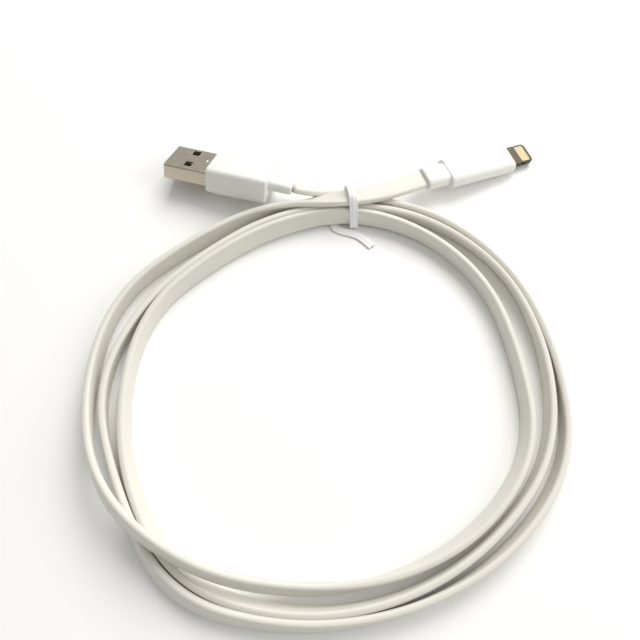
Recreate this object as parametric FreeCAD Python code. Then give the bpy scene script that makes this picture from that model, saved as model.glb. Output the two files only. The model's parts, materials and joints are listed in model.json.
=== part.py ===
"""Charging cable: flat lead coiled in three loose turns, USB-A plug, 8-pin phone plug, and a strap tie.

Units are millimetres. +Z is up and the cable lies on z = 0. The origin is under the middle of the
two plugs and the tie, which lie in a row along X. Every piece is a node of its own, built in the
plug's own frame (x runs from the mouth towards the cable, y across, z through the thickness) and
then laid where it rests.
"""
import FreeCAD, Part
import math
import os

V = FreeCAD.Vector
os.makedirs("parts", exist_ok=True)

# ---- cable ----
CABLE_WIDTH = 5.5
CABLE_THICKNESS = 1.8
WIRE_DIAMETER = 0.9
WIRE_PITCH = 1.15
WIRE_NAMES = ["red", "white", "green", "black"]

# ---- coil: each turn is a ring of control points on evenly spaced spokes, from the tie leftwards ----
COIL_CENTRE = V(-1.45, -61.45, 0)
SPOKES = 14
TURN_RADII = [
    [50.3, 51.0, 51.0, 57.0, 57.5, 59.0, 54.6, 50.5, 50.0, 51.5, 53.5, 50.0, 51.5, 51.0],
    [48.5, 44.5, 43.5, 47.5, 49.0, 52.5, 57.5, 55.3, 54.3, 55.0, 58.0, 58.0, 59.0, 56.0],
    [50.0, 47.0, 45.5, 50.0, 55.0, 55.5, 61.5, 57.8, 57.0, 59.0, 62.5, 61.0, 61.0, 58.5],
]
COIL_MARGIN = 1.6
COIL_HEIGHT = 5.6
COIL_HUMPS = {0: 8.9, 1: 6.4, 4: 6.6, 5: 11.1, 6: 10.4, 7: 6.4}
LAST_RADIUS = 52.0
BUNDLE_AT_TIE = (48.2, 53.1)

# ---- USB-A plug ----
USB_MOUTH = V(-52.4, -5.5, 5.3)
USB_HEADING = -6.2
USB_RISE = 1.9
USB_ROLL = -22.8
SHELL_WIDTH = 12.0
SHELL_HEIGHT = 4.5
SHELL_WALL = 0.3
SHELL_EXPOSED = 12.0
SHELL_ROOT = 4.5
SHELL_HOLE = (2.0, 2.5)
SHELL_HOLE_FROM_MOUTH = 6.16
SHELL_HOLE_SPACING = 6.6
TONGUE_HEIGHT = 1.84
CONTACT_ROWS = {"vbus": 3.5, "d_minus": 1.0, "d_plus": -1.0, "ground": -3.5}
CONTACT_WIDTH = 1.0
CONTACT_THICKNESS = 0.2
USB_BODY = (17.3, 13.6, 7.6)
USB_SLEEVE = (6.5, 6.9, 3.1)
USB_SLEEVE_SHIFT = (-0.6, 0.6)

# ---- phone plug ----
PHONE_FRONT = V(45.5, 15.92, 2.27)
PHONE_HEADING = 210.9
PHONE_RISE = 6.5
PHONE_ROLL = -2.0
TIP_LENGTH = 7.3
TIP_WIDTH = 6.7
TIP_THICKNESS = 1.5
TIP_ROOT = 4.0
PAD_COUNT = 8
PAD_PITCH = 0.66
PAD_SIZE = (2.6, 0.42, 0.2)
INSERT_FROM_END = 1.0
INSERT_LENGTH = 3.0
INSERT_WIDTH = 5.5
PHONE_BODY = (23.1, 9.6, 4.4)
PHONE_SLEEVE = (7.4, 7.1, 4.0)
BOARD = (9.0, 5.6, 0.8)
CHIP = (2.6, 2.4, 0.7)

# ---- leads between the coil and the plugs, hand-laid ----
PHONE_LEAD = [V(19.5, 0.36, 5.72), V(13.7, -3.7, 6.6), V(7.3, -7.8, 7.2), V(1.3, -10.4, 7.4)]
USB_LEAD = [V(-17.2, -9.75, 7.25), V(-12.0, -10.35, 6.6), V(-6.8, -10.4, 5.5)]

# ---- strap tie ----
TIE_X = 0.05
TIE_WIDTH = 2.3
TIE_THICKNESS = 0.8
TIE_SPAN = (-16.1, -6.6)
TIE_TOP = 9.8
TIE_TURN = 15.0
TIE_WIRE_DIAMETER = 0.4
TIE_TAIL = [V(0.3, -12.2, 0.4), V(-4.6, -14.6, 0.4), V(-2.6, -17.7, 0.4), V(1.2, -18.0, 0.4), V(7.3, -21.2, 0.4)]

made = {}


def box(size, centre):
    """Box of the given size about a centre point."""
    corner = V(centre[0] - size[0] / 2, centre[1] - size[1] / 2, centre[2] - size[2] / 2)
    return Part.makeBox(size[0], size[1], size[2], corner)


def slab(x0, x1, width, height, y=0.0, z=0.0):
    """Box from x0 to x1, centred on y and z."""
    return box((x1 - x0, width, height), ((x0 + x1) / 2, y, z))


def edges_along(shape, axis):
    """Straight edges that run along one axis."""
    found = []
    for edge in shape.Edges:
        ends = edge.Vertexes[-1].Point - edge.Vertexes[0].Point
        if ends.Length > 0 and abs(ends.dot(axis)) > 0.999 * ends.Length:
            found.append(edge)
    return found


def round_bar(x0, x1, width, height, radius):
    """Bar along x with rounded long edges."""
    bar = slab(x0, x1, width, height)
    return bar.makeFillet(radius, edges_along(bar, V(1, 0, 0)))


def soft_block(x0, x1, width, height, side_radius, end_radius):
    """Moulded block: round long edges and then rounded ends."""
    block = round_bar(x0, x1, width, height, side_radius)
    ends = [edge for edge in block.Edges
            if abs(edge.BoundBox.XLength) < 1e-6]
    return block.makeFillet(end_radius, ends)


def cut_all(shape, tools):
    """Shape with each tool taken out of it."""
    for tool in tools:
        shape = shape.cut(tool)
    return shape


def largest(shape):
    """Biggest solid of a cut shape."""
    return max(shape.Solids, key=lambda solid: solid.Volume)


def arc_path(points, label=None):
    """Straight runs joined by tangent arcs, each as large as its two runs allow."""
    edges = []
    radii = []
    start = points[0]
    for before, corner, after in zip(points, points[1:], points[2:]):
        run_in = corner - before
        run_out = after - corner
        turn = run_in.getAngle(run_out)
        setback = 0.45 * min(run_in.Length, run_out.Length)
        radii.append(setback / math.tan(turn / 2))
        arc_start = corner - run_in.normalize() * setback
        arc_end = corner + run_out.normalize() * setback
        inward = ((arc_start + arc_end) / 2 - corner).normalize()
        centre_distance = radii[-1] / math.cos(turn / 2)
        middle = corner + inward * (centre_distance - radii[-1])
        edges.append(Part.LineSegment(start, arc_start).toShape())
        edges.append(Part.Arc(arc_start, middle, arc_end).toShape())
        start = arc_end
    edges.append(Part.LineSegment(start, points[-1]).toShape())
    if label:
        print(label, "radii", [round(r, 1) for r in radii])
    return Part.Wire(edges)


def round_tube(points, diameter):
    """Round wire swept along an arc path."""
    path = arc_path(points)
    circle = Part.Wire(Part.makeCircle(diameter / 2, points[0], points[1] - points[0]))
    return path.makePipeShell([circle], True, False)


def flat_tube(points, width, thickness, label=None):
    """Flat strip swept along an arc path, its width kept level."""
    path = arc_path(points, label)
    ahead = (points[1] - points[0]).normalize()
    side = V(0, 0, 1).cross(ahead).normalize() * (width / 2)
    up = ahead.cross(side).normalize() * (thickness / 2)
    start = points[0]
    corners = [start + side + up, start - side + up, start - side - up, start + side - up]
    profile = Part.makePolygon(corners + corners[:1])
    sweep = Part.BRepOffsetAPI.MakePipeShell(path)
    sweep.setBiNormalMode(V(0, 0, 1))
    sweep.add(profile)
    sweep.build()
    sweep.makeSolid()
    solid = sweep.shape()
    if label:
        expected = width * thickness * path.Length
        print(label, "length", round(path.Length, 1))
        print(label, "volume / section x length", round(solid.Volume / expected, 3))
    return solid


def place(shape, origin, heading, rise, roll):
    """Lay a plug-frame shape where it rests."""
    turned = shape.copy()
    turned.rotate(V(0, 0, 0), V(1, 0, 0), roll)
    turned.rotate(V(0, 0, 0), V(0, 1, 0), -rise)
    turned.rotate(V(0, 0, 0), V(0, 0, 1), heading)
    turned.translate(origin)
    return turned


def place_usb(shape):
    return place(shape, USB_MOUTH, USB_HEADING, USB_RISE, USB_ROLL)


def place_phone(shape):
    return place(shape, PHONE_FRONT, PHONE_HEADING, PHONE_RISE, PHONE_ROLL)


def usb_shell():
    """Folded sheet shell: rounded tube with two latch holes above and below, and a seam."""
    length = SHELL_EXPOSED + SHELL_ROOT
    outer = round_bar(0, length, SHELL_WIDTH, SHELL_HEIGHT, 0.6)
    inner = round_bar(-1, length + 1, SHELL_WIDTH - 2 * SHELL_WALL, SHELL_HEIGHT - 2 * SHELL_WALL, 0.3)
    shell = outer.cut(inner)
    for side in (-1, 1):
        y = side * SHELL_HOLE_SPACING / 2
        hole = box((SHELL_HOLE[0], SHELL_HOLE[1], 10), (SHELL_HOLE_FROM_MOUTH, y, 0))
        shell = shell.cut(hole)
    seam = box((length + 2, 0.1, SHELL_WALL + 0.1), (length / 2, 0, -SHELL_HEIGHT / 2 + SHELL_WALL / 2))
    dimple = Part.makeSphere(0.9, V(SHELL_EXPOSED - 1.4, 0, SHELL_HEIGHT / 2 + 0.75))
    return shell.cut(seam).cut(dimple)


def tongue_top():
    """Height of the tongue's contact face."""
    return -SHELL_HEIGHT / 2 + SHELL_WALL + TONGUE_HEIGHT


def usb_contacts():
    """Four contact strips on the tongue, the outer two longer for first contact."""
    strips = {}
    for name, y in CONTACT_ROWS.items():
        start = 1.0 if abs(y) > 2 else 2.0
        z = tongue_top() - CONTACT_THICKNESS / 2
        strips[name] = slab(start, 19.5, CONTACT_WIDTH, CONTACT_THICKNESS, y, z)
    return strips


def usb_tongue(contacts):
    """Plastic insert in the shell's lower half, with a backing block at its root."""
    width = SHELL_WIDTH - 2 * SHELL_WALL - 0.1
    low = -SHELL_HEIGHT / 2 + SHELL_WALL
    blade = slab(0.6, 12.5, width, TONGUE_HEIGHT, 0, low + TONGUE_HEIGHT / 2)
    blade = blade.makeChamfer(0.25, [e for e in blade.Edges if e.BoundBox.XMax < 0.61
                                     and e.BoundBox.YLength > 5 and e.BoundBox.ZMin > low + 1])
    root = round_bar(12.5, 16.5, width, SHELL_HEIGHT - 2 * SHELL_WALL, 0.3)
    return cut_all(blade.fuse(root).removeSplitter(), contacts.values())


def lead_wires(solder_x, rows, solder_z, end_x):
    """Four insulated wires that fan in from the solder joints to the flat cable."""
    wires = {}
    for index, (name, y) in enumerate(zip(WIRE_NAMES, rows)):
        y_end = (1.5 - index) * WIRE_PITCH
        points = [V(solder_x, y, solder_z), V(solder_x + 1.6, y, solder_z * 0.9),
                  V(solder_x + 4.6, y_end, 0), V(end_x, y_end, 0)]
        if abs(y - y_end) < 0.05:
            points = [points[0], V(solder_x + 2.4, y_end, solder_z * 0.5), points[2], points[3]]
        wires[name] = round_tube(points, WIRE_DIAMETER)
    return wires


def make_usb_plug():
    """All the nodes of the USB-A plug, in the row frame."""
    body_end = SHELL_EXPOSED + USB_BODY[0]
    sleeve_end = body_end + USB_SLEEVE[0]
    contacts = usb_contacts()
    nodes = {"usb_shell": usb_shell(), "usb_tongue": usb_tongue(contacts)}
    for name, strip in contacts.items():
        nodes["usb_contact_" + name] = strip
    rows = list(CONTACT_ROWS.values())
    solder_z = tongue_top() + 0.35
    wires = lead_wires(18.6, rows, solder_z + 0.1, sleeve_end)
    inner = {}
    for index, y in enumerate(rows):
        pad = Part.makeSphere(0.55, V(18.6, y, solder_z))
        above = slab(17, 20, 2, 2, y, tongue_top() + 1)
        inner["usb_solder_joint_%d" % (index + 1)] = pad.common(above).cut(wires[WIRE_NAMES[index]])
    for name, wire in wires.items():
        inner["usb_wire_" + name] = cut_all(wire, contacts.values())
    mould = round_bar(16.5, 24.5, 10.6, 5.2, 0.8)
    nodes["usb_inner_mould"] = cut_all(mould, list(contacts.values()) + list(inner.values()))
    body = soft_block(SHELL_EXPOSED, body_end, USB_BODY[1], USB_BODY[2], 1.3, 0.7)
    root = round_bar(SHELL_EXPOSED - 1, 16.5, SHELL_WIDTH, SHELL_HEIGHT, 0.6)
    nodes["usb_overmold"] = cut_all(body, [root, mould] + list(wires.values()))
    sleeve = soft_block(body_end, sleeve_end, USB_SLEEVE[1], USB_SLEEVE[2], 1.2, 0.45)
    sleeve.translate(V(0, *USB_SLEEVE_SHIFT))
    nodes["usb_strain_relief"] = cut_all(sleeve, wires.values())
    nodes.update(inner)
    return {name: place_usb(shape) for name, shape in nodes.items()}


def phone_pads(z, thickness):
    """One row of gold pads on one face of the tip."""
    first = -(PAD_COUNT - 1) / 2 * PAD_PITCH
    x = -TIP_LENGTH + INSERT_FROM_END + INSERT_LENGTH / 2
    return [box((PAD_SIZE[0], PAD_SIZE[1], thickness), (x, first + i * PAD_PITCH, z))
            for i in range(PAD_COUNT)]


def phone_tip(window):
    """Metal frame of the tip with a rounded nose, side notches and a window for the insert."""
    blade = slab(-TIP_LENGTH, TIP_ROOT, TIP_WIDTH, TIP_THICKNESS)
    nose = [e for e in edges_along(blade, V(0, 0, 1)) if e.BoundBox.XMax < -TIP_LENGTH + 0.1]
    blade = blade.makeFillet(1.2, nose)
    blade = blade.makeFillet(0.3, [e for e in blade.Edges if e.BoundBox.ZLength < 1e-6
                                   and e.BoundBox.XMax < TIP_ROOT - 0.1 or
                                   e.BoundBox.ZLength < 1e-6 and e.BoundBox.XLength > 5])
    for side in (-1, 1):
        notch = Part.makeCylinder(0.45, 4, V(-3.3, side * (TIP_WIDTH / 2 + 0.1), -2))
        blade = blade.cut(notch)
    board_slot = slab(1.5, TIP_ROOT + 1, BOARD[1], BOARD[2])
    return blade.cut(window).cut(board_slot)


def make_phone_plug():
    """All the nodes of the phone plug, in the row frame."""
    body_end = PHONE_BODY[0]
    sleeve_end = body_end + PHONE_SLEEVE[0]
    insert_x = -TIP_LENGTH + INSERT_FROM_END
    window = slab(insert_x, insert_x + INSERT_LENGTH, INSERT_WIDTH, TIP_THICKNESS + 1)
    upright = edges_along(window, V(0, 0, 1))
    window = window.makeFillet(0.5, upright)
    level = TIP_THICKNESS / 2 - PAD_SIZE[2] / 2 - 0.03
    top_pads = phone_pads(level, PAD_SIZE[2])
    bottom_pads = phone_pads(-level, PAD_SIZE[2])
    slice_box = slab(-20, 20, 20, TIP_THICKNESS - 0.06)
    insert = cut_all(window.common(slice_box), top_pads + bottom_pads)
    nodes = {"phone_plug_tip": phone_tip(window), "phone_contact_insert": insert}
    for index in range(PAD_COUNT):
        nodes["phone_contact_top_%d" % (index + 1)] = top_pads[index]
        nodes["phone_contact_bottom_%d" % (index + 1)] = bottom_pads[index]
    board_end = 1.5 + BOARD[0]
    board = slab(1.5, board_end, BOARD[1], BOARD[2])
    chip = box(CHIP, (6.4, 0, BOARD[2] / 2 + CHIP[2] / 2))
    rows = [2.1, 0.7, -0.7, -2.1]
    wire_z = BOARD[2] / 2 + WIRE_DIAMETER / 2
    wires = lead_wires(board_end - 0.9, rows, wire_z, sleeve_end)
    wires = {name: wire.cut(board) for name, wire in wires.items()}
    inner = {"phone_circuit_board": board, "phone_controller_chip": chip}
    for index, y in enumerate(rows):
        joint = Part.makeSphere(0.5, V(board_end - 1.1, y, BOARD[2] / 2 + 0.1))
        joint = cut_all(joint, [board] + list(wires.values()))
        inner["phone_solder_joint_%d" % (index + 1)] = joint
    for name, wire in wires.items():
        inner["phone_wire_" + name] = wire
    core = round_bar(TIP_ROOT + 0.2, 14.5, 6.6, 3.2, 0.4)
    shield = round_bar(TIP_ROOT + 0.2, 9.4, 6.6, 3.2, 0.4).cut(slab(TIP_ROOT - 1, 12, 6.2, 2.8))
    nodes["phone_shield"] = shield
    nodes["phone_inner_mould"] = cut_all(core, [shield, nodes["phone_plug_tip"]] + list(inner.values()))
    body = soft_block(0, body_end, PHONE_BODY[1], PHONE_BODY[2], 2.1, 0.4)
    tip_space = slab(-1, TIP_ROOT + 0.2, TIP_WIDTH, TIP_THICKNESS)
    nodes["phone_overmold"] = cut_all(body, [tip_space, core] + list(wires.values()))
    sleeve = soft_block(body_end, sleeve_end, PHONE_SLEEVE[1], PHONE_SLEEVE[2], 1.9, 0.4)
    nodes["phone_strain_relief"] = cut_all(sleeve, wires.values())
    nodes.update(inner)
    return {name: place_phone(shape) for name, shape in nodes.items()}


def spoke(index, radius, height=0.0):
    """Point on a spoke of the coil; spoke 0 points at the tie and the rest go leftwards."""
    bearing = 2 * math.pi * index / SPOKES
    return COIL_CENTRE + V(-radius * math.sin(bearing), radius * math.cos(bearing), height)


def strand_radius(flat, index):
    """Radius of the smooth strand at a half spoke, from its control radii."""
    spot = index // 2
    if index % 2:
        return (flat[spot] + flat[spot + 1]) / 2
    before = flat[max(spot - 1, 0)]
    return 0.75 * flat[spot] + 0.125 * (before + flat[spot + 1])


def coil_outline():
    """Inner radius, outer radius and height of the bundle at each half spoke."""
    flat = [radius for turn in TURN_RADII for radius in turn] + [LAST_RADIUS, LAST_RADIUS]
    rows = []
    for half in range(2 * SPOKES):
        radii = [strand_radius(flat, half + 2 * SPOKES * turn) for turn in range(len(TURN_RADII))]
        if half == 0:
            radii += BUNDLE_AT_TIE
        height = COIL_HUMPS.get(half // 2, COIL_HEIGHT)
        rows.append((min(radii) - COIL_MARGIN, max(radii) + COIL_MARGIN, height))
    return rows


def make_coil():
    """Closed ring with the bundle's outline, raised where one turn rides over the others."""
    rows = coil_outline()
    faces = []
    for half, row in enumerate(rows):
        following = rows[(half + 1) % len(rows)]
        here = [spoke(half / 2, row[i], z) for i in (0, 1) for z in (0, row[2])]
        there = [spoke((half + 1) / 2, following[i], z) for i in (0, 1) for z in (0, following[2])]
        quads = [(here[0], there[0], there[2], here[2]), (here[0], here[1], there[1], there[0]),
                 (here[2], there[2], there[3], here[3])]
        for corners in quads:
            faces.append(Part.Face(Part.makePolygon(list(corners) + [corners[0]])))
        for corners in ((here[1], here[3], there[1]), (here[3], there[3], there[1])):
            faces.append(Part.Face(Part.makePolygon(list(corners) + [corners[0]])))
    shell = Part.makeShell(faces)
    solid = Part.makeSolid(shell)
    return solid if solid.Volume > 0 else solid.reversed()


def make_tie():
    """Strap looped round the bundle, a tail on the surface, and the wire inside it."""
    low, high = TIE_SPAN
    middle = ((low + high) / 2, TIE_TOP / 2)
    outer = box((TIE_WIDTH, high - low, TIE_TOP), (TIE_X, middle[0], middle[1]))
    outer = outer.makeFillet(1.2, edges_along(outer, V(1, 0, 0)))
    gap = 2 * TIE_THICKNESS
    inner = box((TIE_WIDTH + 2, high - low - gap, TIE_TOP - gap), (TIE_X, middle[0], middle[1]))
    inner = inner.makeFillet(0.4, edges_along(inner, V(1, 0, 0)))
    pivot = V(TIE_X, middle[0], 0)
    loop = outer.cut(inner)
    loop.rotate(pivot, V(0, 0, 1), TIE_TURN)
    tail = flat_tube(TIE_TAIL, TIE_WIDTH - 0.1, TIE_THICKNESS - 0.1)
    sleeve = loop.fuse(tail)
    core = TIE_WIRE_DIAMETER
    ring = box((core, high - low - TIE_THICKNESS + core, TIE_TOP - TIE_THICKNESS + core),
               (TIE_X, middle[0], middle[1]))
    ring = ring.makeFillet(1.0, edges_along(ring, V(1, 0, 0)))
    hole = box((core + 2, high - low - TIE_THICKNESS - core, TIE_TOP - TIE_THICKNESS - core),
               (TIE_X, middle[0], middle[1]))
    hole = hole.makeFillet(0.6, edges_along(hole, V(1, 0, 0)))
    wire_loop = ring.cut(hole)
    wire_loop.rotate(pivot, V(0, 0, 1), TIE_TURN)
    wire = wire_loop.fuse(round_tube(TIE_TAIL, 0.9 * core))
    return sleeve, wire


def build():
    """Make every node, cut apart so that neighbours only touch."""
    made.update(make_usb_plug())
    made.update(make_phone_plug())
    sleeve, wire = make_tie()
    made["tie_sleeve"] = sleeve.cut(wire)
    made["tie_wire"] = wire
    coil = make_coil()
    print("coil volume", round(coil.Volume, 1), "valid", coil.isValid())
    near = [sleeve, made["usb_strain_relief"], made["usb_overmold"]]
    made["cable_coil"] = cut_all(coil, near)
    usb = flat_tube(USB_LEAD, CABLE_WIDTH, CABLE_THICKNESS, "usb lead")
    phone = flat_tube(PHONE_LEAD, CABLE_WIDTH, CABLE_THICKNESS, "phone lead")
    made["cable_lead_usb"] = largest(cut_all(usb, [coil, sleeve, made["usb_strain_relief"]]))
    made["cable_lead_phone"] = largest(cut_all(phone, [coil, sleeve, made["phone_strain_relief"]]))


build()
for node, shape in made.items():
    shape.exportStep("parts/%s.step" % node)
    bounds = shape.BoundBox
    print("%-26s solids %d vol %9.2f valid %s  x %.1f..%.1f y %.1f..%.1f z %.2f..%.2f" % (
        node, len(shape.Solids), shape.Volume, shape.isValid(), bounds.XMin, bounds.XMax,
        bounds.YMin, bounds.YMax, bounds.ZMin, bounds.ZMax))
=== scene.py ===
"""Looks of the charging cable: the flat lead, its plugs and its tie, on a pale floor.

Lengths in the tables are millimetres in the frame of the CAD model; MM turns them into metres.
"""

import json
import math

import bpy
from mathutils import Matrix, Vector


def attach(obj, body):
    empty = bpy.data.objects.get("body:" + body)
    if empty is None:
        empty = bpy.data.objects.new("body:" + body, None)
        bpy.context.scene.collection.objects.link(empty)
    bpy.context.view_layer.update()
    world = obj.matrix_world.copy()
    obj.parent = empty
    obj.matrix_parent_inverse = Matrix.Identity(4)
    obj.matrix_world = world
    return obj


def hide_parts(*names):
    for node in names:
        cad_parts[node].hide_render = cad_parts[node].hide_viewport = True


MM = 0.001
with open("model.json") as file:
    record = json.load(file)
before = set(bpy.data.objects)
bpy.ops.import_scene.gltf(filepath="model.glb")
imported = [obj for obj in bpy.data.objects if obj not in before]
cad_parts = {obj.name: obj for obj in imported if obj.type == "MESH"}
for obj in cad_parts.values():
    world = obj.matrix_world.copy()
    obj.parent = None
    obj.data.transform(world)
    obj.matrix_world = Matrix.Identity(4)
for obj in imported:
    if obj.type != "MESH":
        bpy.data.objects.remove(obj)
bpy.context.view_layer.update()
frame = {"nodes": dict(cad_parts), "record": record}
nodes = frame["nodes"]

# ---- the lead's route: the CAD model's, but lower where the USB end runs under the first turn ----
CABLE_WIDTH = 5.5
CABLE_THICKNESS = 1.8
CABLE_ROUNDING = 0.7
COIL_CENTRE = (-1.45, -61.45)
SPOKES = 14
TURN_RADII = [
    [50.3, 51.0, 51.0, 57.0, 57.5, 59.0, 54.6, 50.5, 50.0, 51.5, 53.5, 50.0, 51.5, 51.0],
    [48.5, 44.5, 43.5, 47.5, 49.0, 52.5, 57.5, 55.3, 54.3, 55.0, 58.0, 58.0, 59.0, 56.0],
    [50.0, 47.0, 45.5, 50.0, 55.0, 55.5, 61.5, 57.8, 57.0, 59.0, 62.5, 61.0, 61.0, 58.5],
]
# lean of the strip's upper edge, in degrees: outwards is positive, -90 lies flat
TURN_LEANS = [
    [-84, 0, 10, 0, 10, -22, -14, -20, 8, 22, 10, 0, -3, -4],
    [14, 24, 22, 8, 8, 15, 24, 17, 10, 4, 3, -8, -30, -22],
    [6, 4, 4, -8, -2, -16, -26, -15, -2, 13, 5, -30, -31, -20],
]
# height of the strip's lower edge above the floor, where it rides over other turns or the tie
TURN_LIFTS = [
    [6.2, 0.8, 0, 0, 0.4, 5.8, 5.3, 0.2, 0, 0, 0, 0, 0, 0.2],
    [0.8, 0.2, 0, 0, 0, 0, 0, 0, 0, 0, 0, 0, 0, 0.2],
    [0.8, 0.2, 0, 0, 0, 0, 0, 0, 0, 0, 0, 0, 0, 0.2],
]
PHONE_LEAD = [(19.5, 0.36, 5.72), (13.7, -3.7, 6.6), (7.3, -7.8, 7.2)]
PHONE_LEANS = [-94, -94, -90]
USB_LEAD = [(-6.8, -8.2, 2.9), (-12.0, -9.0, 4.6), (-17.2, -9.75, 7.25)]
USB_LEANS = [-8, -45, -66]
LAST_RADIUS = 53.2
LAST_LEAN = 0
LAST_LIFT = 0.4

# ---- plugs: origin, heading, rise and roll of each, then its sizes, as in the CAD model ----
USB_PLACE = ((-52.4, -5.5, 5.3), -6.2, 1.9, -22.8)
USB_BODY = (17.3, 13.6, 7.6)
USB_SLEEVE = (6.5, 6.9, 3.1)
USB_SLEEVE_SHIFT = (-0.6, 0.6)
SHELL_EXPOSED = 12.0
SHELL_SECTION = (12.0, 4.5)
PHONE_PLACE = ((45.5, 15.92, 2.27), 210.9, 6.5, -2.0)
PHONE_BODY = (23.1, 9.6, 4.4)
PHONE_SLEEVE = (7.4, 7.1, 4.0)
TIP_SECTION = (6.7, 1.5)
# each moulding's mouth: how much wider it is than what comes out of it, how deep it goes, and how its
# front edge is eased
MOUTH_CLEARANCE = 0.1
MOUTH_DEPTH = 0.5
LIP_DEPTH = 0.02
LIP_ROUNDING = 0.1

# ---- tie: its strap starts under the bundle, goes once round it and out again at the near side ----
TIE_WIDTH = 2.3
TIE_WIRE = 0.4
WIRE_PAST_STRAP = 0.25
TIE_PATH = [
    (1.0, -9.0, 0.4), (1.4, -13.0, 0.4), (1.5, -16.6, 0.3), (1.0, -15.3, 3.4), (0.5, -14.0, 7.0),
    (-0.1, -12.4, 9.6), (-0.9, -9.4, 9.6), (-1.6, -7.0, 8.2), (-1.9, -6.7, 4.0), (-2.0, -6.9, 0.4),
    (-2.3, -10.0, 0.4), (-3.2, -13.2, 0.4), (-4.6, -16.6, 0.4), (-1.8, -17.7, 0.4), (1.8, -17.9, 0.4),
    (4.6, -19.2, 0.4), (7.2, -21.3, 0.4),
]
# direction across the strap at each point of its path: the first twelve points share one
TIE_ACROSS = [(1, 0.15, 0)] * 12 + [
    (0.9, 0.5, 0), (0.1, 1, 0), (0.25, 0.95, 0), (0.5, 0.85, 0), (0.55, 0.83, 0),
]
# half thickness of the strap's wings; height and spread of the ridge over its wire and of its beads
WING_HALF = 0.19
RIDGE_HEIGHT = 0.13
RIDGE_SPREAD = 0.3
BEAD_HEIGHT = 0.05
BEAD_SPREAD = 0.13
BEAD_FROM_MIDDLE = 0.95

# ---- camera: above the near side of the coil, tilted and a little rolled ----
CAMERA_PLACE = (-4.45, -114.45, 142.7)
CAMERA_PITCH = 64.4
CAMERA_ROLL = 8.0
CAMERA_LENS = 33.75
CAMERA_SENSOR = 36
CAMERA_CLIP = 5


def strip_height(lean):
    """Height of the strip's section at a lean."""
    tilt = math.radians(lean)
    return CABLE_WIDTH * abs(math.cos(tilt)) + CABLE_THICKNESS * abs(math.sin(tilt))


def coil_point(index, radius, lean, lift):
    """Control point on a spoke of the coil, at the middle of the leaning strip."""
    bearing = 2 * math.pi * index / SPOKES
    x = COIL_CENTRE[0] - radius * math.sin(bearing)
    y = COIL_CENTRE[1] + radius * math.cos(bearing)
    return (x, y, strip_height(lean) / 2 + lift)


def lead_route():
    """Control points and leans from the phone plug, round the three turns, to the USB plug."""
    points = list(PHONE_LEAD)
    leans = list(PHONE_LEANS)
    for turn, radii in enumerate(TURN_RADII):
        for index, radius in enumerate(radii):
            lean = TURN_LEANS[turn][index]
            points.append(coil_point(index, radius, lean, TURN_LIFTS[turn][index]))
            leans.append(lean)
    points.append(coil_point(0, LAST_RADIUS, LAST_LEAN, LAST_LIFT))
    leans.append(LAST_LEAN)
    return points + USB_LEAD, leans + USB_LEANS


def nurbs_samples(name, values):
    """Points along the smooth curve that has the given control values."""
    curve = bpy.data.curves.new(name, "CURVE")
    curve.dimensions = "3D"
    curve.resolution_u = 16
    spline = curve.splines.new("NURBS")
    spline.points.add(len(values) - 1)
    for point, value in zip(spline.points, values):
        point.co = (value[0], value[1], value[2], 1)
    spline.order_u = 3
    spline.use_endpoint_u = True
    holder = bpy.data.objects.new(name, curve)
    mesh = bpy.data.meshes.new_from_object(holder)
    samples = [vertex.co.copy() for vertex in mesh.vertices]
    bpy.data.objects.remove(holder)
    bpy.data.curves.remove(curve)
    bpy.data.meshes.remove(mesh)
    return samples


def rounded_section(width, thickness, radius, steps=4):
    """Closed outline of a rounded rectangle: along the width first, across the thickness second."""
    outline = []
    for corner, (sx, sy) in enumerate(((1, 1), (-1, 1), (-1, -1), (1, -1))):
        for step in range(steps + 1):
            angle = math.radians(90 * corner + 90 * step / steps)
            along = sx * (width / 2 - radius) + radius * math.cos(angle)
            across = sy * (thickness / 2 - radius) + radius * math.sin(angle)
            outline.append((along, across))
    return outline


def add_mesh(name, vertices, faces, material):
    """New smooth mesh object that rides on the one body."""
    mesh = bpy.data.meshes.new(name)
    mesh.from_pydata(vertices, [], faces)
    mesh.validate()
    mesh.update()
    mesh.materials.append(material)
    for polygon in mesh.polygons:
        polygon.use_smooth = True
    piece = bpy.data.objects.new(name, mesh)
    bpy.context.scene.collection.objects.link(piece)
    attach(piece, "root")
    return piece


def ring_faces(rings, size):
    """Faces between rings of vertices, with a cap at each end."""
    faces = []
    for start in range(0, (rings - 1) * size, size):
        for step in range(size):
            following = (step + 1) % size
            faces.append((start + step, start + following,
                          start + size + following, start + size + step))
    faces.append(tuple(range(size))[::-1])
    faces.append(tuple(range((rings - 1) * size, rings * size)))
    return faces


def direction(path, index):
    """Unit vector along a path at one of its points."""
    return (path[min(index + 1, len(path) - 1)] - path[max(index - 1, 0)]).normalized()


def swept_strip(name, path, leans, outline, material):
    """Strip whose section leans by the given angle at each path point."""
    vertices = []
    for index, centre in enumerate(path):
        ahead = direction(path, index)
        outward = ahead.cross(Vector((0, 0, 1))).normalized()
        upward = outward.cross(ahead).normalized()
        tilt = math.radians(leans[index])
        across_width = upward * math.cos(tilt) + outward * math.sin(tilt)
        across_face = outward * math.cos(tilt) - upward * math.sin(tilt)
        for along, across in outline:
            vertices.append(centre + (across_width * along + across_face * across) * MM)
    return add_mesh(name, vertices, ring_faces(len(path), len(outline)), material)


def swept_section(name, path, hints, outline, material):
    """Section swept along a path, its width turned towards the hint at each point."""
    vertices = []
    for index, centre in enumerate(path):
        ahead = direction(path, index)
        across_width = (hints[index] - ahead * hints[index].dot(ahead)).normalized()
        across_face = ahead.cross(across_width)
        for along, across in outline:
            vertices.append(centre + (across_width * along + across_face * across) * MM)
    return add_mesh(name, vertices, ring_faces(len(path), len(outline)), material)


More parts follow.
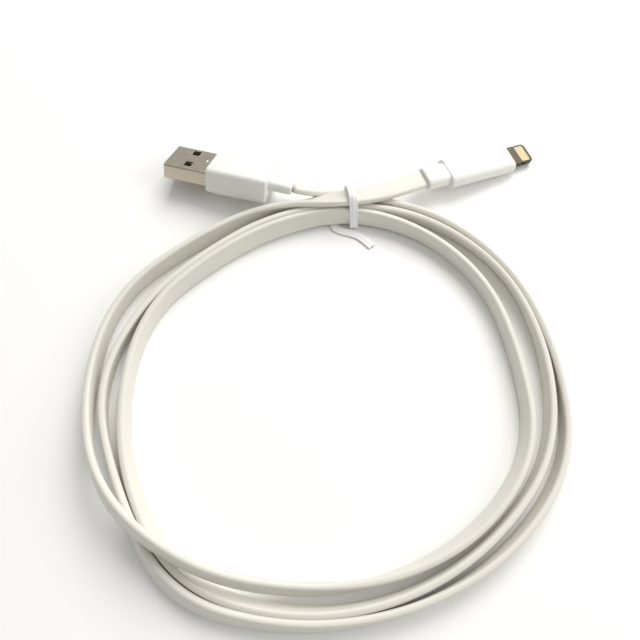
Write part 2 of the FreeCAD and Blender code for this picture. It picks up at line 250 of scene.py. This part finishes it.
def plug_frame(origin, heading, rise, roll):
    """Turns a plug's own millimetre frame (x towards its cable) into the row's metres."""
    turn = (Matrix.Rotation(math.radians(heading), 4, "Z") @ Matrix.Rotation(math.radians(-rise), 4, "Y")
            @ Matrix.Rotation(math.radians(roll), 4, "X"))
    return Matrix.Translation(Vector(origin) * MM) @ turn @ Matrix.Scale(MM, 4)


def lofted(name, placed, stations, material, shift=0.0):
    """Moulding lofted through rounded sections: (x, width, height, corner radius, middle height).

    shift moves every section sideways.
    """
    vertices = []
    for x, width, height, radius, middle in stations:
        for y, z in rounded_section(width, height, radius, 6):
            vertices.append(placed @ Vector((x, shift + y, middle + z)))
    size = len(vertices) // len(stations)
    return add_mesh(name, vertices, ring_faces(len(stations), size), material)


def mouth(x, section, corner, lip):
    """Stations of a moulding's mouth, from inside it out to the lip of its front face."""
    width = section[0] + MOUTH_CLEARANCE
    height = section[1] + MOUTH_CLEARANCE
    return [(x + MOUTH_DEPTH, width, height, corner, 0),
            (x + LIP_DEPTH, width, height, corner, 0),
            (x, width + lip, height + lip, corner + LIP_ROUNDING, 0)]


def rounded_end(x, width, height, radius, middle, edge, outward, steps=5):
    """Stations that round an end over by an edge radius; outward is -1 at the low x end, 1 at the high."""
    least_corner = 0.15
    stations = []
    for step in range(steps + 1):
        angle = math.radians(90 * step / steps)
        inset = edge * (1 - math.sin(angle))
        back = edge * (1 - math.cos(angle))
        corner = max(radius - inset, least_corner)
        stations.append((x - outward * back, width - 2 * inset, height - 2 * inset, corner, middle))
    return stations if outward < 0 else stations[::-1]


# ---- materials: low and high are the two ends of each mottled colour ----
PLASTICS = {
    "cable_jacket": {"low": (0.72, 0.70, 0.64), "high": (0.76, 0.74, 0.68),
                     "roughness": 0.38, "grain": 1400.0, "depth": 0.008, "scatter": 0.15},
    "white_moulding": {"low": (0.81, 0.82, 0.785), "high": (0.85, 0.86, 0.825),
                       "roughness": 0.33, "grain": 1100.0, "depth": 0.004, "scatter": 0.15},
    "tie_plastic": {"low": (0.96, 0.955, 0.93), "high": (0.98, 0.975, 0.95),
                    "roughness": 0.3, "grain": 700.0, "depth": 0.003, "scatter": 1.0, "coat": 0.1},
    "tongue_plastic": {"low": (0.018, 0.017, 0.016), "high": (0.03, 0.028, 0.026), "roughness": 0.5},
    "insert_resin": {"low": (0.47, 0.42, 0.29), "high": (0.52, 0.465, 0.325), "roughness": 0.6},
    "inner_polyethylene": {"low": (0.75, 0.75, 0.72), "high": (0.8, 0.8, 0.78), "roughness": 0.5},
    "board_laminate": {"low": (0.04, 0.20, 0.08), "high": (0.06, 0.26, 0.11), "roughness": 0.4},
    "chip_resin": {"low": (0.02, 0.02, 0.02), "high": (0.035, 0.035, 0.035), "roughness": 0.6},
    "wire_red": {"low": (0.55, 0.03, 0.02), "high": (0.62, 0.05, 0.03), "roughness": 0.4},
    "wire_white": {"low": (0.8, 0.8, 0.78), "high": (0.85, 0.85, 0.83), "roughness": 0.4},
    "wire_green": {"low": (0.02, 0.25, 0.07), "high": (0.03, 0.32, 0.1), "roughness": 0.4},
    "wire_black": {"low": (0.015, 0.015, 0.015), "high": (0.03, 0.03, 0.03), "roughness": 0.4},
}
METALS = {
    "nickel_shell": {"low": (0.52, 0.465, 0.38), "high": (0.56, 0.505, 0.415),
                     "roughness": 0.27, "stretch": (1, 8, 8), "grain": 220.0, "depth": 0.0001},
    "dark_steel": {"low": (0.065, 0.057, 0.048), "high": (0.085, 0.075, 0.063),
                   "roughness": 0.38, "stretch": (1, 6, 6), "grain": 300.0, "depth": 0.0004},
    "gold_contact": {"low": (0.50, 0.39, 0.22), "high": (0.56, 0.44, 0.25),
                     "roughness": 0.5, "stretch": (1, 6, 6)},
    "tin_plate": {"low": (0.60, 0.60, 0.60), "high": (0.68, 0.68, 0.68),
                  "roughness": 0.3, "stretch": (1, 6, 6)},
    "tie_steel": {"low": (0.45, 0.45, 0.46), "high": (0.52, 0.52, 0.53),
                  "roughness": 0.3, "stretch": (1, 6, 6)},
    "solder": {"low": (0.62, 0.63, 0.64), "high": (0.70, 0.71, 0.72),
               "roughness": 0.22, "stretch": (1, 1, 1)},
}
MOTTLE_SCALE = 90.0
PATCH_SCALE = 160.0
FLOOR_SCALE = 6.0


def new_material(name):
    """Material with nodes; returns it with its node tree and shader."""
    material = bpy.data.materials.new(name)
    material.use_nodes = True
    tree = material.node_tree
    return material, tree, tree.nodes["Principled BSDF"]


def mixed_colour(tree, factor, low, high):
    """Colour that runs from low to high with a factor."""
    mix = tree.nodes.new("ShaderNodeMix")
    mix.data_type = "RGBA"
    tree.links.new(factor, mix.inputs[0])
    mix.inputs[6].default_value = (*low, 1)
    mix.inputs[7].default_value = (*high, 1)
    return mix.outputs[2]


def noise(tree, scale, detail=3.0, stretch=None):
    """Noise in object space; stretch scales its axes."""
    coordinates = tree.nodes.new("ShaderNodeTexCoord")
    texture = tree.nodes.new("ShaderNodeTexNoise")
    texture.inputs["Scale"].default_value = scale
    texture.inputs["Detail"].default_value = detail
    source = coordinates.outputs["Object"]
    if stretch:
        mapping = tree.nodes.new("ShaderNodeMapping")
        mapping.inputs["Scale"].default_value = stretch
        tree.links.new(source, mapping.inputs["Vector"])
        source = mapping.outputs["Vector"]
    tree.links.new(source, texture.inputs["Vector"])
    return texture.outputs["Fac"]


def ranged(tree, value, low, high):
    """Noise value, which mostly lies between 0.3 and 0.7, moved to a range."""
    node = tree.nodes.new("ShaderNodeMapRange")
    node.inputs["From Min"].default_value = 0.3
    node.inputs["From Max"].default_value = 0.7
    node.inputs["To Min"].default_value = low
    node.inputs["To Max"].default_value = high
    tree.links.new(value, node.inputs["Value"])
    return node.outputs["Result"]


def add_bump(tree, shader, height, strength, distance):
    """Bump from a height value, with its depth in millimetres."""
    bump = tree.nodes.new("ShaderNodeBump")
    bump.inputs["Strength"].default_value = strength
    bump.inputs["Distance"].default_value = distance * MM
    tree.links.new(height, bump.inputs["Height"])
    tree.links.new(bump.outputs["Normal"], shader.inputs["Normal"])


def plastic(name, low, high, roughness, grain=900.0, depth=0.01, scatter=0.1, coat=0.0):
    """Moulded plastic: slightly mottled colour and gloss, fine grain and a little light inside."""
    material, tree, shader = new_material(name)
    mottle = noise(tree, MOTTLE_SCALE)
    tree.links.new(mixed_colour(tree, mottle, low, high), shader.inputs["Base Color"])
    tree.links.new(ranged(tree, mottle, roughness - 0.05, roughness + 0.07), shader.inputs["Roughness"])
    shader.inputs["Subsurface Weight"].default_value = scatter
    shader.inputs["Subsurface Radius"].default_value = (0.9, 0.85, 0.75)
    shader.inputs["Subsurface Scale"].default_value = 0.6 * MM
    shader.inputs["Coat Weight"].default_value = coat
    shader.inputs["Coat Roughness"].default_value = 0.2
    shader.inputs["IOR"].default_value = 1.48
    add_bump(tree, shader, noise(tree, grain, 2.0), 0.35, depth)
    return material


def metal(name, low, high, roughness, stretch, grain=600.0, depth=0.004):
    """Metal with a drawn grain along one axis and patchy gloss."""
    material, tree, shader = new_material(name)
    streaks = noise(tree, grain, 4.0, stretch)
    patches = noise(tree, PATCH_SCALE)
    tree.links.new(mixed_colour(tree, patches, low, high), shader.inputs["Base Color"])
    tree.links.new(ranged(tree, streaks, roughness - 0.03, roughness + 0.04), shader.inputs["Roughness"])
    shader.inputs["Metallic"].default_value = 1.0
    add_bump(tree, shader, streaks, 0.3, depth)
    return material


def make_materials():
    """Every material, by the record's slot names."""
    made = {name: plastic(name, **look) for name, look in PLASTICS.items()}
    made.update({name: metal(name, **look) for name, look in METALS.items()})
    return made


def dress_nodes(materials):
    """Gives each CAD node its material."""
    for entry in frame["record"]["subparts"]:
        node = nodes[entry["node"]]
        node.data.materials.clear()
        node.data.materials.append(materials[entry["material_slot"]])


# ---- pieces ----
def make_lead(materials, phone_pieces):
    """The flat lead from plug to plug, which stands for the three plain cable solids."""
    route, leans = lead_route()
    path = nurbs_samples("lead_line", [Vector(p) * MM for p in route])
    lean_line = nurbs_samples("lean_line", [(lean, 0, 0) for lean in leans])
    outline = rounded_section(CABLE_WIDTH, CABLE_THICKNESS, CABLE_ROUNDING)
    piece = swept_strip("flat_lead", path, [p.x for p in lean_line], outline, materials["cable_jacket"])
    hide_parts("cable_coil", "cable_lead_usb", "cable_lead_phone")
    path = path[::-1]


def make_usb_mouldings(materials):
    """USB overmould with crisp top edges, and the thin tapered sleeve on its lead."""
    placed = plug_frame(*USB_PLACE)
    white = materials["white_moulding"]
    length, width, height = USB_BODY
    start = SHELL_EXPOSED
    end = start + length
    full_from_end = 4
    corner = 1.35
    end_corner = 1.3
    stations = mouth(start, SHELL_SECTION, 0.6, 0.2)
    stations += rounded_end(start, width - 0.3, height - 0.3, end_corner, 0, edge=0.7, outward=-1)
    stations += [(start + full_from_end, width, height, corner, 0),
                 (end - full_from_end, width, height, corner, 0)]
    stations += rounded_end(end, width - 0.1, height - 0.1, end_corner, 0, edge=0.6, outward=1)
    grip = lofted("usb_grip", placed, stations, white)
    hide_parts("usb_overmold")
    length, width, height = USB_SLEEVE
    shift, lift = USB_SLEEVE_SHIFT
    root_width = width - 0.6
    stations = [(end - 0.5, root_width, height, 1.2, lift),
                (end + 0.1, root_width, height, 1.2, lift),
                (end + length - 2, width - 0.1, height - 0.2, 1.1, lift)]
    stations += rounded_end(end + length, width, height - 0.4, 1.0, lift, edge=0.45, outward=1)
    sleeve = lofted("usb_lead_sleeve", placed, stations, white, shift)
    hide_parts("usb_strain_relief")


def make_phone_mouldings(materials):
    """Phone plug's pebble-edged body and the collar on its lead."""
    placed = plug_frame(*PHONE_PLACE)
    white = materials["white_moulding"]
    length, width, height = PHONE_BODY
    corner = 2.2
    stations = mouth(0.0, TIP_SECTION, 0.3, 0.15)
    stations += rounded_end(0.0, width - 0.3, height - 0.3, 2.0, 0, edge=0.8, outward=-1)
    stations += [(3.0, width - 0.1, height - 0.1, 2.1, 0), (length - 5, width, height, corner, 0)]
    stations += rounded_end(length, width, height, corner, 0, edge=0.45, outward=1)
    body = lofted("phone_grip", placed, stations, white)
    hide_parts("phone_overmold")
    reach, width, height = PHONE_SLEEVE
    collar_corner = 1.9
    stations = [(length - 0.6, width - 0.2, height - 0.2, 1.8, 0),
                (length + 0.3, width - 0.1, height - 0.1, collar_corner, 0)]
    stations += rounded_end(length + reach, width, height, collar_corner, 0, edge=0.5, outward=1)
    collar = lofted("phone_collar", placed, stations, white)
    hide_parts("phone_strain_relief")
    return body, collar


def strap_outline():
    """Strap section: two thin wings, a ridge over the wire and a bead along each edge."""
    steps = 14
    outline = []
    for side in (1, -1):
        for step in range(steps + 1):
            across = side * TIE_WIDTH * (0.5 - step / steps)
            ridge = RIDGE_HEIGHT * math.exp(-(across / RIDGE_SPREAD) ** 2)
            bead = BEAD_HEIGHT * math.exp(-((abs(across) - BEAD_FROM_MIDDLE) / BEAD_SPREAD) ** 2)
            outline.append((across, side * (WING_HALF + ridge + bead)))
    return outline


def make_tie(materials):
    """Plastic strap with its wire, once round the bundle and out along the floor."""
    path = nurbs_samples("tie_line", [Vector(p) * MM for p in TIE_PATH])
    hints = nurbs_samples("tie_across", TIE_ACROSS)
    strap = swept_section("tie_strap", path, hints, strap_outline(), materials["tie_plastic"])
    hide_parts("tie_sleeve")
    past = WIRE_PAST_STRAP * MM
    first = path[0] - direction(path, 0) * past
    last = path[-1] + direction(path, len(path) - 1) * past
    line = [first] + path[1:-1] + [last]
    wire_outline = rounded_section(TIE_WIRE, TIE_WIRE, TIE_WIRE / 2, 3)
    core = swept_section("tie_core_wire", line, hints, wire_outline, materials["tie_steel"])
    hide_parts("tie_wire")


# ---- stage ----
def make_floor():
    """Pale floor under everything."""
    material, tree, shader = new_material("floor")
    tint = mixed_colour(tree, noise(tree, FLOOR_SCALE), (0.93, 0.93, 0.92), (0.95, 0.95, 0.94))
    tree.links.new(tint, shader.inputs["Base Color"])
    shader.inputs["Roughness"].default_value = 0.6
    reach = 3.0
    corners = [(-reach, -reach, 0), (reach, -reach, 0), (reach, reach, 0), (-reach, reach, 0)]
    mesh = bpy.data.meshes.new("floor")
    mesh.from_pydata(corners, [], [(0, 1, 2, 3)])
    mesh.materials.append(material)
    floor = bpy.data.objects.new("floor", mesh)
    bpy.context.scene.collection.objects.link(floor)


def add_area(name, place, target, size, power, colour):
    """Square soft light aimed at a point; places in millimetres."""
    light = bpy.data.lights.new(name, "AREA")
    light.shape = "SQUARE"
    light.size = size * MM
    light.energy = power
    light.color = colour
    lamp = bpy.data.objects.new(name, light)
    place = Vector(place) * MM
    lamp.location = place
    lamp.rotation_euler = (Vector(target) * MM - place).to_track_quat("-Z", "Y").to_euler()
    bpy.context.scene.collection.objects.link(lamp)


def make_lights():
    """A broad light over the far side, a weak one from the right, and a pale surround."""
    middle = (0, -50, 0)
    add_area("key", (160, 620, 760), middle, size=700, power=8.4, colour=(1.0, 0.985, 0.96))
    add_area("side", (700, 40, 520), middle, size=560, power=2.2, colour=(1.0, 0.99, 0.97))
    world = bpy.data.worlds.new("surround")
    world.use_nodes = True
    background = world.node_tree.nodes["Background"]
    background.inputs["Color"].default_value = (1.0, 0.99, 0.97, 1)
    background.inputs["Strength"].default_value = 0.45
    bpy.context.scene.world = world


def make_camera():
    """Camera that looks across the coil from its near side, turned about its own line of sight."""
    pitch = math.radians(CAMERA_PITCH)
    roll = math.radians(CAMERA_ROLL)
    ahead = Vector((0, math.cos(pitch), -math.sin(pitch)))
    level = Vector((1, 0, 0))
    above = level.cross(ahead)
    right = level * math.cos(roll) + above * math.sin(roll)
    up = above * math.cos(roll) - level * math.sin(roll)
    turn = Matrix((right, up, -ahead)).transposed().to_4x4()
    data = bpy.data.cameras.new("camera")
    data.lens = CAMERA_LENS
    data.sensor_width = CAMERA_SENSOR
    data.clip_start = CAMERA_CLIP * MM
    camera = bpy.data.objects.new("camera", data)
    camera.matrix_world = Matrix.Translation(Vector(CAMERA_PLACE) * MM) @ turn
    bpy.context.scene.collection.objects.link(camera)
    bpy.context.scene.camera = camera


materials = make_materials()
dress_nodes(materials)
make_usb_mouldings(materials)
make_lead(materials, list(make_phone_mouldings(materials)))
make_tie(materials)
bpy.context.scene.view_settings.view_transform = "Standard"
make_floor()
make_lights()
make_camera()
